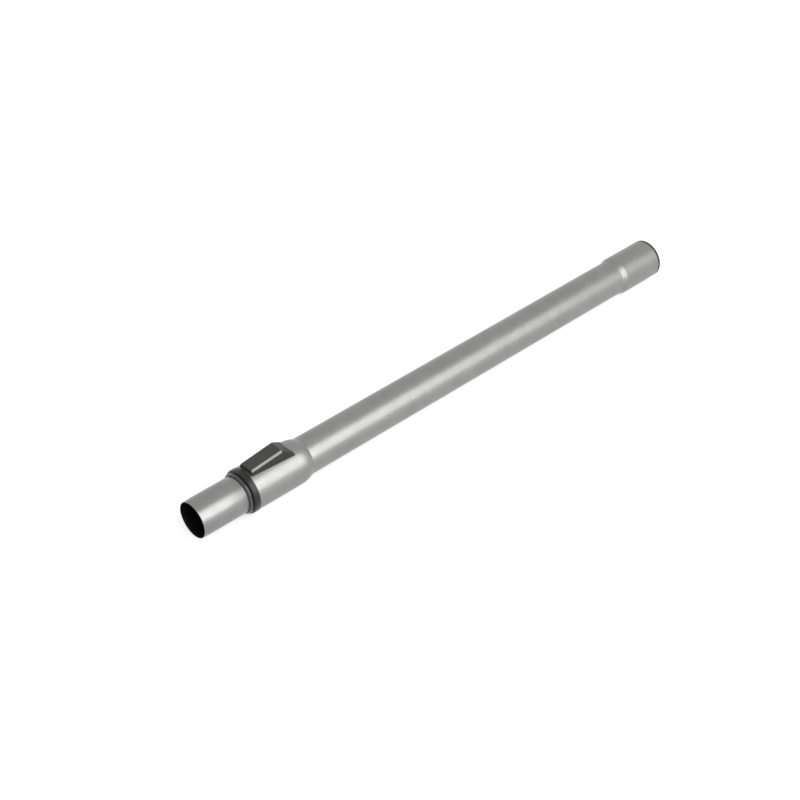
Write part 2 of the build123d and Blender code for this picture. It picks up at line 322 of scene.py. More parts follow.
def grain_effect() -> bpy.types.NodeTree:
    """Polishing lines along the wand: noise drawn out along X and tight across it, over several sizes.

    Returns:
        The group, with outputs Lines from 0 to 1 and Cloud from 0 to 1.
    """
    sizes = {"Along": 45.0, "Across": 1300.0, "Cloud Size": 75.0}
    group = EffectGroup("polishing_lines", sizes, ("Lines", "Cloud"))
    stretch = group.add("ShaderNodeCombineXYZ")
    for axis, size in (("X", "Along"), ("Y", "Across"), ("Z", "Across")):
        group.link(group.given[size], stretch.inputs[axis])
    scaled = group.add("ShaderNodeVectorMath", operation="MULTIPLY")
    group.link(group.place, scaled.inputs[0])
    group.link(stretch.outputs["Vector"], scaled.inputs[1])
    lines = group.noise(1.0, detail=4.0, roughness=0.65, place=scaled.outputs["Vector"])
    group.link(lines, group.result["Lines"])
    group.link(group.noise("Cloud Size", detail=5.0), group.result["Cloud"])
    return group.tree


def skin_effect() -> bpy.types.NodeTree:
    """The fine spark-eroded skin of a moulding: small noise for its bumps and wide noise for its tone.

    Returns:
        The group, with outputs Skin and Tone from 0 to 1.
    """
    group = EffectGroup("moulded_skin", {"Skin Size": 2600.0, "Tone Size": 90.0}, ("Skin", "Tone"))
    group.link(group.noise("Skin Size", detail=3.0), group.result["Skin"])
    group.link(group.noise("Tone Size"), group.result["Tone"])
    return group.tree


def dust_and_top_light_effect() -> bpy.types.NodeTree:
    """Lighter colour on faces that look up, partly a dusty film and partly painted top light: the upward
    share of the normal, broken up by noise.

    Returns:
        The group, with one output: 1 on a level face, which gets both a dusty film and painted top light, and
            0 on a steep one.
    """
    group = EffectGroup("dust_and_painted_top_light", {"Steep": 0.82, "Level": 0.97}, ("DustAndTopLight",))
    surface = group.add("ShaderNodeNewGeometry")
    parts = group.add("ShaderNodeSeparateXYZ")
    group.link(surface.outputs["Normal"], parts.inputs["Vector"])
    share = group.add("ShaderNodeMapRange")
    group.link(parts.outputs["Z"], share.inputs["Value"])
    group.link(group.given["Steep"], share.inputs["From Min"])
    group.link(group.given["Level"], share.inputs["From Max"])
    uneven = group.add("ShaderNodeMapRange")
    uneven.inputs["From Min"].default_value = NOISE_LOW
    uneven.inputs["From Max"].default_value = NOISE_HIGH
    uneven.inputs["To Min"].default_value = 0.6
    group.link(group.noise(420.0, detail=5.0), uneven.inputs["Value"])
    dust_and_top_light = group.math("MULTIPLY", share.outputs["Result"], uneven.outputs["Result"])
    group.link(dust_and_top_light, group.result["DustAndTopLight"])
    return group.tree


def scuff_effect() -> bpy.types.NodeTree:
    """Sparse hairline marks from use: the thin zero lines of a slow noise, kept only in a few patches.

    Returns:
        The group, with output Marks, 1 on a mark and 0 elsewhere.
    """
    group = EffectGroup("use_marks", {"Size": 130.0, "Thinness": 0.012, "Patches": 0.6}, ("Marks",))
    away = group.math("ABSOLUTE", group.math("SUBTRACT", group.noise("Size", detail=1.0), 0.5))
    thin = group.math("LESS_THAN", away, group.given["Thinness"])
    few = group.math("GREATER_THAN", group.noise(55.0), group.given["Patches"])
    group.link(group.math("MULTIPLY", thin, few), group.result["Marks"])
    return group.tree


class Material:
    """A node material under construction: its Principled shader and short ways to feed it."""

    def __init__(self, name: str) -> None:
        """Makes the material with an empty tree but for its shader and output."""
        self.material = bpy.data.materials.new(name)
        self.material.use_nodes = True
        self.nodes = self.material.node_tree.nodes
        self.links = self.material.node_tree.links
        self.shader = self.nodes["Principled BSDF"]

    def group(self, tree: bpy.types.NodeTree, **values: float) -> bpy.types.Node:
        """Places an effect group with its own values."""
        node = self.nodes.new("ShaderNodeGroup")
        node.node_tree = tree
        for label, value in values.items():
            node.inputs[label.replace("_", " ")].default_value = value
        return node

    def spread(self, source: Socket, low: float, high: float) -> Socket:
        """Maps the middle of a noise, NOISE_LOW to NOISE_HIGH, onto low to high."""
        node = self.nodes.new("ShaderNodeMapRange")
        node.inputs["From Min"].default_value = NOISE_LOW
        node.inputs["From Max"].default_value = NOISE_HIGH
        node.inputs["To Min"].default_value = low
        node.inputs["To Max"].default_value = high
        self.links.new(source, node.inputs["Value"])
        return node.outputs["Result"]

    def mix(
        self,
        factor: Socket,
        first: Triple | Socket,
        second: Triple,
    ) -> Socket:
        """Mixes two colours by a factor."""
        node = self.nodes.new("ShaderNodeMix")
        node.data_type = "RGBA"
        self.links.new(factor, node.inputs["Factor"])
        if isinstance(first, tuple):
            node.inputs["A"].default_value = (*first, 1)
        else:
            self.links.new(first, node.inputs["A"])
        node.inputs["B"].default_value = (*second, 1)
        return node.outputs["Result"]

    def bump(self, height: Socket, depth_mm: float, strength: float) -> None:
        """Feeds a height to the shader's normal."""
        node = self.nodes.new("ShaderNodeBump")
        node.inputs["Strength"].default_value = strength
        node.inputs["Distance"].default_value = depth_mm * MM
        self.links.new(height, node.inputs["Height"])
        self.links.new(node.outputs["Normal"], self.shader.inputs["Normal"])

    def feed(self, source: Socket, socket: str) -> None:
        """Feeds one of the shader's sockets."""
        self.links.new(source, self.shader.inputs[socket])

    def uneven_roughness(self, noise: Socket, middle: float) -> None:
        """Lets a noise vary the roughness a little about its middle."""
        self.feed(self.spread(noise, middle - ROUGHNESS_SPREAD, middle + ROUGHNESS_SPREAD), "Roughness")


@dataclass(frozen=True)
class Effects:
    """The effect groups that the finishes share."""

    grain: bpy.types.NodeTree
    skin: bpy.types.NodeTree
    dust_and_top_light: bpy.types.NodeTree
    scuff: bpy.types.NodeTree


@dataclass(frozen=True)
class SatinSteel:
    """Ground and polish-finished steel: fine lines along the tube, a cloudy tone and a few hairline marks."""

    name: str
    tone: Triple
    roughness: float
    contrast: float = 0.08
    streaks: float = 0.6
    line_depth_mm: float = 0.006
    line_strength: float = 0.35
    mark_brightness: float = 1.12
    marks: bool = True

    def build(self, effects: Effects) -> Finish:
        """Builds the material."""
        made = Material(self.name)
        grain = made.group(effects.grain)
        darker = tuple(c * (1 - self.contrast) for c in self.tone)
        lighter = tuple(c * (1 + self.contrast) for c in self.tone)
        colour = made.mix(made.spread(grain.outputs["Cloud"], 0, 1), darker, lighter)
        colour = made.mix(made.spread(grain.outputs["Lines"], 0, self.streaks), colour, darker)
        if self.marks:
            scuff = made.group(effects.scuff)
            bright = tuple(c * self.mark_brightness for c in self.tone)
            colour = made.mix(scuff.outputs["Marks"], colour, bright)
        made.feed(colour, "Base Color")
        made.uneven_roughness(grain.outputs["Lines"], self.roughness)
        made.shader.inputs["Metallic"].default_value = 1.0
        made.bump(grain.outputs["Lines"], self.line_depth_mm, self.line_strength)
        return made.material


@dataclass(frozen=True)
class MouldedPlastic:
    """Matt moulded plastic with a fine skin and a faint change of tone."""

    name: str
    tone: Triple
    roughness: float
    skin_depth_mm: float = 0.02
    skin_size: float = 2600.0
    shine: float = 0.5
    skin_strength: float = 0.4
    contrast: float = 0.15
    dust_and_top_light_tone: Triple | None = None

    def build(self, effects: Effects) -> Finish:
        """Builds the material."""
        made = Material(self.name)
        made.shader.inputs["Specular IOR Level"].default_value = self.shine
        skin = made.group(effects.skin, Skin_Size=self.skin_size)
        darker = tuple(c * (1 - self.contrast) for c in self.tone)
        lighter = tuple(c * (1 + self.contrast) for c in self.tone)
        colour = made.mix(made.spread(skin.outputs["Tone"], 0, 1), darker, lighter)
        # Lighter colour on up-facing faces: partly a dusty film, partly painted light from above.
        if self.dust_and_top_light_tone:
            colour = made.mix(made.group(effects.dust_and_top_light).outputs["DustAndTopLight"], colour, self.dust_and_top_light_tone)
        made.feed(colour, "Base Color")
        made.uneven_roughness(skin.outputs["Skin"], self.roughness)
        made.bump(skin.outputs["Skin"], self.skin_depth_mm, self.skin_strength)
        return made.material


# The wand's sub-assemblies


@dataclass
class OuterTube:
    """The drawn steel tube: swollen lock end, shoulder, main run, flare and socket."""

    steel: Finish
    front: float = -526.4
    lock_end: float = -476.1
    shoulder_end: float = -463.8
    flare_start: float = -54.6
    flare_end: float = -49.0
    end: float = -2.8
    lock_radius: float = 20.7
    tube_radius: float = 17.7
    socket_radius: float = 19.3
    wall: float = 0.6
    bend: float = 4.0
    window: tuple[float, float] = (-518.1, -494.5)
    beside_window: tuple[float, float] = (-522.0, -485.0)
    window_angle: float = 0.2258
    window_columns: int = 6
    angle_gap: float = 0.01
    turns: int = 180
    sharp_deg: float = 24

    def wall_line(self, inset: float) -> np.ndarray:
        """The tube's outline from front to end, moved in by inset.

        The shoulder is an arc of radius (L^2 + h^2) / 2h that leaves the lock section smoothly and meets the
        main run at a crisp corner, L being its length and h the drop in radius.

        Args:
            inset: How far inside the outer surface the line runs.

        Returns:
            The (x, r) points.
        """
        length = self.shoulder_end - self.lock_end
        drop = self.lock_radius - self.tube_radius
        sweep_radius = (length**2 + drop**2) / (2 * drop)
        turn = np.linspace(0, asin(length / sweep_radius), 12)[1:]
        shoulder = np.stack(
            (
                self.lock_end + sweep_radius * np.sin(turn),
                self.lock_radius - inset - sweep_radius * (1 - np.cos(turn)),
            ),
            axis=1,
        )
        low, high = self.tube_radius - inset, self.socket_radius - inset
        far = 100.0
        flare = rounded(
            np.array([
                (self.shoulder_end, low),
                (self.flare_start, low),
                (self.flare_end, high),
                (self.end, high),
                (self.end, -far),
                (self.shoulder_end, -far),
            ]),
            np.array([0, self.bend, self.bend, 0, 0, 0]),
            steps=8,
        )
        flare = flare[flare[:, 1] > 0]
        runs = np.linspace(0, 1, 24)[1:-1, None]
        main = flare[0] * (1 - runs) + flare[1] * runs
        before, after = self.beside_window
        lock = np.array([self.front, before, *self.window, after, self.lock_end])
        start = np.stack((lock, np.full(len(lock), self.lock_radius - inset)), axis=1)
        return np.concatenate((start, shoulder, main, flare[1:]))

    def build(self) -> Piece:
        """Turns the wall about the axis and cuts the window under the button.

        The outer line and the inner line have the same number of points, so point i of one faces point i of
        the other across the wall. The quads inside the window are left out and its rim is closed from wall to
        wall.

        Returns:
            The tube.
        """
        outside, inside = self.wall_line(0), self.wall_line(self.wall)
        outline = np.concatenate((outside, inside[::-1]))
        rows = len(outline)
        even, near = even_angles(self.turns), self.window_columns
        clear = self.window_angle + self.angle_gap
        angles = np.concatenate((
            np.linspace(0, self.window_angle, near + 1),
            even[(even > clear) & (even < 2 * pi - clear)],
            2 * pi - np.linspace(self.window_angle, 0, near + 1)[:-1],
        ))
        columns = len(angles)
        quads = ring_quads(rows, columns)
        first, last = 2, 3
        cut = np.zeros((rows, columns), bool)
        inside_angles = np.r_[0:near, columns - near:columns]
        cut[first, inside_angles] = True
        cut[rows - 2 - first, inside_angles] = True
        facing = rows - 1

        def number(row: np.ndarray, column: np.ndarray) -> np.ndarray:
            """The vertex number at a row and a column."""
            return row * columns + column % columns

        edge = np.arange(-near, near)
        rims = [
            np.stack((number(row, edge), number(row, edge + 1),
                      number(facing - row, edge + 1), number(facing - row, edge)), axis=-1)
            for row in (first, last)
        ]
        sides = [
            np.array([[number(first, column), number(last, column),
                       number(facing - last, column), number(facing - first, column)]])
            for column in (near, -near)
        ]
        faces = np.concatenate((quads[~cut], *rims, *sides))
        points = turned(outline, angles)
        piece = make_piece("steel_outer_tube", points, faces, self.steel, sharp_deg=self.sharp_deg)
        stand_for(piece, "outer_tube", Body.OUTER)
        return piece


@dataclass
class InnerTube:
    """The sliding steel tube: open male end, shaft, pressed guide channel and its detents."""

    steel: Finish
    bore: Finish
    mouth: float = -583.9
    lead_end: float = -574.9
    male_end: float = -536.2
    taper_end: float = -533.0
    end: float = -59.9
    mouth_radius: float = 17.3
    male_radius: float = 17.6
    shaft_radius: float = 16.0
    wall: float = 0.6
    rim: float = 0.25
    channel: tuple[float, float] = (-529.9, -102.25)
    channel_half: float = 3.5
    channel_floor: float = 14.2
    channel_blend: float = 0.55
    first_detent: float = -506.8
    pitch: float = 25.0
    count: int = 16
    detent_depth: float = 1.2
    detent_half: float = 1.2
    detent_flank: float = 1.0
    lead_step: tuple[float, float] = (3, 0.1)
    male_middle: float = -560.0
    fine_angle: float = 0.29
    fine_columns: int = 32
    coarse_angle: float = 0.33
    coarse_columns: int = 76

    def stations(self) -> np.ndarray:
        """Places along the tube, close together at the detents and at the channel's ends."""
        near = np.array([-3.4, -2.5, -2.1, -1.7, -1.2, -0.5, 0.5, 1.2, 1.7, 2.1, 2.5, 3.4])
        detents = (self.first_detent + np.arange(self.count)[:, None] * self.pitch + near).ravel()
        ends = (np.array(self.channel)[:, None] + np.linspace(-1.2, 5.2, 14) * np.array([[1], [-1]])).ravel()
        between = np.linspace(self.taper_end + 1, self.end - 1, 40)
        return np.unique(np.round(np.concatenate((detents, ends, between)), 2))

    def wall_line(self, inset: float) -> np.ndarray:
        """The tube's plain outline from mouth to inner end, moved in by inset.

        Args:
            inset: How far inside the outer surface the line runs.

        Returns:
            The (x, r) points.
        """
        male = np.array([
            (self.mouth + self.rim, self.mouth_radius),
            (self.mouth + self.lead_step[0], self.mouth_radius + self.lead_step[1]),
            (self.lead_end, self.male_radius),
            (self.male_middle, self.male_radius),
            (self.male_end, self.male_radius),
            (self.taper_end, self.shaft_radius),
        ])
        places = self.stations()
        shaft = np.stack((places, np.full(len(places), self.shaft_radius)), axis=1)
        return np.concatenate((male, shaft, [(self.end, self.shaft_radius)])) - (0, inset)

    def pressed(self, grid: np.ndarray, inset: float) -> np.ndarray:
        """Presses the channel and its detents into a wall.

        The distance d of a point from the channel's centre line gives its share of the pressing, a smooth
        step from 1 inside to 0 outside. Its height goes down to the channel's floor by that share, and at a
        detent further by the detent's own smooth step along the tube.

        Args:
            grid: Points of the round wall, in mm.
            inset: How far inside the outer surface that wall runs.

        Returns:
            The moved points.
        """
        x, y, z = grid[..., 0], grid[..., 1], grid[..., 2]
        start, end = self.channel[0] + self.channel_half, self.channel[1] - self.channel_half
        along = x - np.clip(x, start, end)
        distance = np.hypot(along, y)
        edge = self.channel_half + inset * 0.5
        share = np.clip((edge + self.channel_blend / 2 - distance) / self.channel_blend, 0, 1)
        share = share * share * (3 - 2 * share) * (z > 0)
        step = np.clip(np.round((x - self.first_detent) / self.pitch), 0, self.count - 1)
        away = np.abs(x - self.first_detent - step * self.pitch)
        dip = np.clip((self.detent_half + self.detent_flank - away) / self.detent_flank, 0, 1)
        dip = dip * dip * (3 - 2 * dip)
        floor = self.channel_floor - inset - self.detent_depth * dip
        return np.stack((x, y, z + share * (np.minimum(floor, z) - z)), axis=-1)

    def build(self) -> Piece:
        """Turns the wall, presses the channel and rolls the rim at the mouth.

        The columns stand close together about the channel and further apart round the rest.

        Returns:
            The tube.
        """
        half = self.fine_columns // 2
        fine = np.linspace(-self.fine_angle, self.fine_angle, self.fine_columns + 1)
        coarse = np.linspace(self.coarse_angle, 2 * pi - self.coarse_angle, self.coarse_columns)
        angles = np.concatenate((fine[half:], coarse, 2 * pi + fine[:half]))
        outside, inside = self.wall_line(0), self.wall_line(self.wall)
        turn = np.linspace(pi / 2, -pi / 2, 7)[-2:0:-1]
        rim = np.stack(
            (
                self.mouth + self.rim - self.rim * np.cos(turn),
                self.mouth_radius - self.wall / 2 + self.wall / 2 * np.sin(turn),
            ),
            axis=1,
        )
        walls = (
            turned(rim, angles),
            self.pressed(turned(outside, angles), 0),
            self.pressed(turned(inside[::-1], angles), self.wall),
        )
        points = np.concatenate(walls)
        faces = ring_quads(len(points), len(angles))
        piece = make_piece("steel_inner_tube", points, faces, self.steel, self.bore, sharp_deg=50)
        self.darken_bore(piece)
        stand_for(piece, "inner_tube", Body.INNER)
        return piece

    def darken_bore(self, piece: Piece) -> None:
        """Gives the faces that look towards the axis the bore's near-black, rough finish, a painted shade for
        the dark inside of the tube.
        """
        normals, middles = face_values(piece.data, "normal", 3), face_values(piece.data, "center", 3)
        inward = (normals[:, 1:] * middles[:, 1:]).sum(1) < 0
        near_axis = np.linalg.norm(middles[:, 1:], axis=1) < (self.male_radius - self.wall * 0.6) * MM
        give_second_finish(piece, inward & near_axis)


@dataclass
class Collar:
    """The black ring in front of the steel: thin rounded lip, groove, wide ring and hidden spigot."""

    plastic: Finish
    lip_rubber: Finish
    lip_end: float = -533.95
    lip_foot: float = 18.0
    corners: tuple[Triple, ...] = (
        (-536.0, 17.9, 0.0),
        (-536.0, 18.2, 0.4),
        (-534.7, 19.6, 1.25),
        (-533.9, 19.6, 0.2),
        (-533.9, 18.6, 0.12),
        (-532.6, 18.6, 0.12),
        (-532.6, 21.0, 1.8),
        (-526.4, 21.0, 0.25),
        (-526.4, 20.0, 0.0),
        (-522.9, 20.0, 0.15),
        (-522.9, 18.5, 0.0),
        (-525.65, 18.5, 0.0),
        (-525.65, 16.1, 0.0),
        (-532.7, 16.1, 0.0),
        (-535.9, 17.9, 0.0),
    )

    def build(self) -> Piece:
        """Turns the rounded outline about the axis.

        Returns:
            The ring.
        """
        corners = np.array(self.corners)
        piece = turned_ring("black_collar_ring", corners, 8, self.plastic, self.lip_rubber)
        middles = face_values(piece.data, "center", 3)
        radii = np.hypot(middles[:, 1], middles[:, 2])
        on_lip = (middles[:, 0] < self.lip_end * MM) & (radii > self.lip_foot * MM)
        give_second_finish(piece, on_lip)
        stand_for(piece, "collar_ring", Body.OUTER)
        return piece


@dataclass
class SocketLiner:
    """The dark plastic liner of the socket, with the thin ring that shows at its mouth."""

    plastic: Finish
    corners: tuple[Triple, ...] = (
        (-2.8, 19.3, 0.1),
        (0.0, 19.3, 0.45),
        (0.0, 17.7, 0.3),
        (-47.6, 17.7, 0.3),
        (-47.6, 18.6, 0.2),
        (-2.8, 18.6, 0.0),
    )

    def build(self) -> Piece:
        """Turns the rounded outline about the axis.

        Returns:
            The liner.
        """
        piece = turned_ring("dark_socket_liner", np.array(self.corners)[::-1], 5, self.plastic)
        stand_for(piece, "socket_liner", Body.OUTER)
        return piece


@dataclass
class SlideButton:
    """The wedge button: rising top, chamfered edges, drafted flanks and a sloped rear."""

    plastic: Finish
    # Finish of the chamfer strip: a glossier plastic whose light colour is a painted highlight.
    glossy_painted_highlight: Finish
    front: float = -524.8
    ridge: float = -491.0
    end: float = -478.7
    front_top: float = 24.25
    ridge_top: float = 28.05
    lock_radius: float = 20.7
    seat_radius: float = 20.85
    front_half: float = 8.5
    rear_half: float = 10.7
    flank_draft: float = radians(14.7)
    rear_slope: float = radians(34.0)
    chamfer_top: float = 0.7
    chamfer_flank: float = 2.1
    stripe_setback: float = 1.35
    stripe_end_gap: float = 0.6
    stripe_turn_deg: tuple[float, float] = (40, 70)
    bevel: float = 0.25
    widest: float = 11.0
    rounds: int = 8

    def base(self, x: np.ndarray) -> tuple[np.ndarray, np.ndarray]:
        """Half width and height of the flank's lower edge at x, which runs straight from front to end."""
        share = (x - self.front) / (self.end - self.front)
        ends = [(half, (self.lock_radius**2 - half**2) ** 0.5) for half in (self.front_half, self.rear_half)]
        (y0, z0), (y1, z1) = ends
        return y0 + share * (y1 - y0), z0 + share * (z1 - z0)

    def flank(self, x: np.ndarray, z: np.ndarray) -> np.ndarray:
        """Half width of the flank at x and height z."""
        y, low = self.base(x)
        return y - (z - low) * tan(self.flank_draft)

    def foot(self, x: np.ndarray) -> np.ndarray:
        """Half width at which the flank meets the seat, found by three rounds of substitution."""
        y = self.base(x)[0]
        for _ in range(3):
            y = self.flank(x, np.sqrt(self.seat_radius**2 - y**2))
        return y

    def slope(self, x: np.ndarray) -> np.ndarray:
        """Height of the top at x: up to the ridge, then down the rear face."""
        rise = (self.ridge_top - self.front_top) / (self.ridge - self.front)
        return np.minimum(
            self.front_top + (x - self.front) * rise,
            self.ridge_top - (x - self.ridge) * tan(self.rear_slope),
        )

    def breaks(self, x: np.ndarray) -> tuple[np.ndarray, np.ndarray]:
        """Half widths at which the chamfer starts on the top and ends on the flank.

        The chamfer takes a little off the top and more off the flank, and its plane goes on past the ridge
        until the rear face cuts it off.

        Args:
            x: Places along the button.

        Returns:
            The two half widths.
        """
        rise = (self.ridge_top - self.front_top) / (self.ridge - self.front)
        crest = self.front_top + (x - self.front) * rise
        corner = self.flank(x, crest)
        inner = corner - self.chamfer_top
        outer = corner + self.chamfer_flank * sin(self.flank_draft)
        low = crest - self.chamfer_flank * cos(self.flank_draft)
        top = self.slope(x)
        share = np.clip((crest - top) / (crest - low), 0, 1)
        first = inner + share * (outer - inner)
        second = np.where(top > low, outer, self.flank(x, top))
        return np.minimum(first, second), second

    def surface(self) -> tuple[np.ndarray, np.ndarray]:
        """The button's skin as an upper and a lower grid.

        Each column keeps its share of one of three strips: the top, the chamfer and the flank. Each row runs
        from the front to the ridge, and on to where the rear face meets the seat in that column, which is
        found by repeated substitution.

        Returns:
            The upper points and the lower points, both of shape (rows, columns, 3), in mm.
        """
        share = np.concatenate((np.linspace(0, 1, 9), np.linspace(1, 2, 3)[1:], np.linspace(2, 3, 7)[1:]))
        share = np.concatenate((-share[:0:-1], share))[None, :]
        strip, side = np.abs(share), np.sign(share)
        setback = self.stripe_setback / (self.ridge - self.front)
        forward = np.concatenate(([0], np.linspace(setback, 1, 15)))[:, None]
        back = np.concatenate(([0.06, 0.12], np.linspace(0.2, 1, 13)))[:, None]

        def across(x: np.ndarray) -> np.ndarray:
            """Half width of each column at x."""
            first, second = self.breaks(x)
            foot = self.foot(x)
            return np.where(
                strip <= 1, strip * first,
                np.where(strip <= 2, first + (strip - 1) * (second - first),
                         second + (strip - 2) * (foot - second)),
            )

        ahead = self.front + forward * (self.ridge - self.front) + 0 * share
        reach = np.full_like(share, self.end - self.ridge) + 0 * back
        for _ in range(self.rounds):
            tip = across(self.ridge + reach)
            meet = self.ridge_top - np.sqrt(self.seat_radius**2 - np.minimum(tip, self.widest) ** 2)
            reach = np.minimum(meet / tan(self.rear_slope), self.end - self.ridge)
        behind = self.ridge + back * reach
        x = np.concatenate((ahead, behind))
        y = across(x)
        first, second = self.breaks(x)
        crest = self.slope(x)
        low = self.base(x)
        flank_height = low[1] + (low[0] - y) / tan(self.flank_draft)
        second_height = np.minimum(crest, low[1] + (low[0] - second) / tan(self.flank_draft))
        gap = np.maximum(second - first, 1e-6)
        chamfer_height = crest + (second_height - crest) * np.clip((y - first) / gap, 0, 1)
        height = np.where(strip <= 1, crest, np.where(strip <= 2, chamfer_height, flank_height))
        seat = np.sqrt(self.seat_radius**2 - y**2)
        height = np.maximum(height, seat)
        upper = np.stack((x, y * side, height), axis=-1)
        lower = np.stack((x, y * side, seat), axis=-1)
        upper[-1] = lower[-1]
        return upper, lower

    def build(self) -> Piece:
        """Joins the two grids and the front face, and softens the edges.

        Returns:
            The button.
        """
        upper, lower = self.surface()
        rows, columns = upper.shape[:2]
        row, column = np.arange(rows - 1)[:, None], np.arange(columns - 1)[None, :]
        corner = row * columns + column
        sheet = np.stack((corner, corner + 1, corner + columns + 1, corner + columns), axis=-1).reshape(-1, 4)
        line = np.arange(columns - 1)
        under = rows * columns
        face = np.stack((line, line + 1, under + line + 1, under + line), axis=-1)
        faces = np.concatenate((sheet, sheet[:, ::-1] + under, face))
        points = np.concatenate((upper.reshape(-1, 3), lower.reshape(-1, 3)))
        piece = make_piece("black_slide_button", points, faces, self.plastic, self.glossy_painted_highlight, sharp_deg=9)
        # The chamfer strip on each side gets the second finish, whose light colour paints the highlight
        # there.
        normals = face_values(piece.data, "normal", 3)
        turn = np.degrees(np.arctan2(*np.abs(normals[:, 1:]).T))
        along = face_values(piece.data, "center", 3)[:, 0]
        start, end = self.front + self.stripe_setback, self.ridge - self.stripe_end_gap
        between = (along > start * MM) & (along < end * MM)
        least, most = self.stripe_turn_deg
        on_chamfer = (turn > least) & (turn < most) & between & (normals[:, 2] > 0)
        give_second_finish(piece, on_chamfer)
        soften = piece.modifiers.new("soft_edges", "BEVEL")
        soften.width = self.bevel * MM
        soften.segments = 2
        soften.limit_method = "ANGLE"
        soften.angle_limit = radians(20)
        soften.harden_normals = True
        stand_for(piece, "slide_button", Body.BUTTON)
        return piece


@dataclass
class ReturnSprings:
    """The two wire coils that push the button back, squeezed between the carriage and the sleeve."""

    wire_steel: Finish
    fixed_end: float = -484.8
    length: float = 12.0
    travel: float = 5.0
    outer_diameter: float = 2.2
    wire: float = 0.4
    active_turns: int = 5
    spacing: float = 8.0
    height: float = 18.45
    end_inset: float = 0.55
    closed_pitch: float = 1.05
    tip_share: float = 0.42
    rows_per_turn: int = 24
    sides: int = 10

    def coil(self, side: int) -> np.ndarray:
        """The wire's surface: a circle carried along a helix.

        With t the number of turns, the centre line is (x(t), y0 + R cos 2 pi t, z0 + R sin 2 pi t). Its x
        rises by about one wire in the closed turn at each end and evenly in between. The circle lies across
        the line, spanned by the way out from the coil's axis and by the line's direction crossed with that.
        Its radius falls to nothing over the first and last two rows.

        Args:
            side: 1 for the coil on the left, -1 for the one on the right.

        Returns:
            The points, of shape (rows, sides, 3), in mm.
        """
        turns = self.active_turns + 2
        radius = (self.outer_diameter - self.wire) / 2
        t = np.linspace(0, turns, turns * self.rows_per_turn + 1)
        reach = self.length - 2 * self.end_inset * self.wire
        closed = self.wire * self.closed_pitch
        x = np.interp(t, [0, 1, turns - 1, turns], [0, closed, reach - closed, reach])
        outward = np.stack((0 * t, np.cos(2 * pi * t), np.sin(2 * pi * t)), axis=1)
        start = self.fixed_end - self.length + self.wire * self.end_inset
        middle = (start, side * self.spacing / 2, self.height)
        centre = np.array(middle) + radius * outward + np.stack((x, 0 * t, 0 * t), axis=1)
        ahead = np.gradient(centre, axis=0)
        across = np.cross(ahead / np.linalg.norm(ahead, axis=1, keepdims=True), outward)
        thickness = np.full(len(t), self.wire / 2)
        thickness[[0, -1]], thickness[[1, -2]] = 0, self.wire * self.tip_share
        angle = even_angles(self.sides)[None, :, None]
        circle = np.cos(angle) * outward[:, None] + np.sin(angle) * across[:, None]
        return centre[:, None] + thickness[:, None, None] * circle

    def build(self) -> None:
        """Makes both coils, fixed at the sleeve's end."""
        for side, name in ((1, "left"), (-1, "right")):
            points = self.coil(side)
            faces = ring_quads(*points.shape[:2])[:-1]
            piece = make_piece(f"return_coil_{name}", points, faces, self.wire_steel)
            stand_for(piece, f"return_spring_{name}", Body.OUTER)
            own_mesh(piece)


# The studio


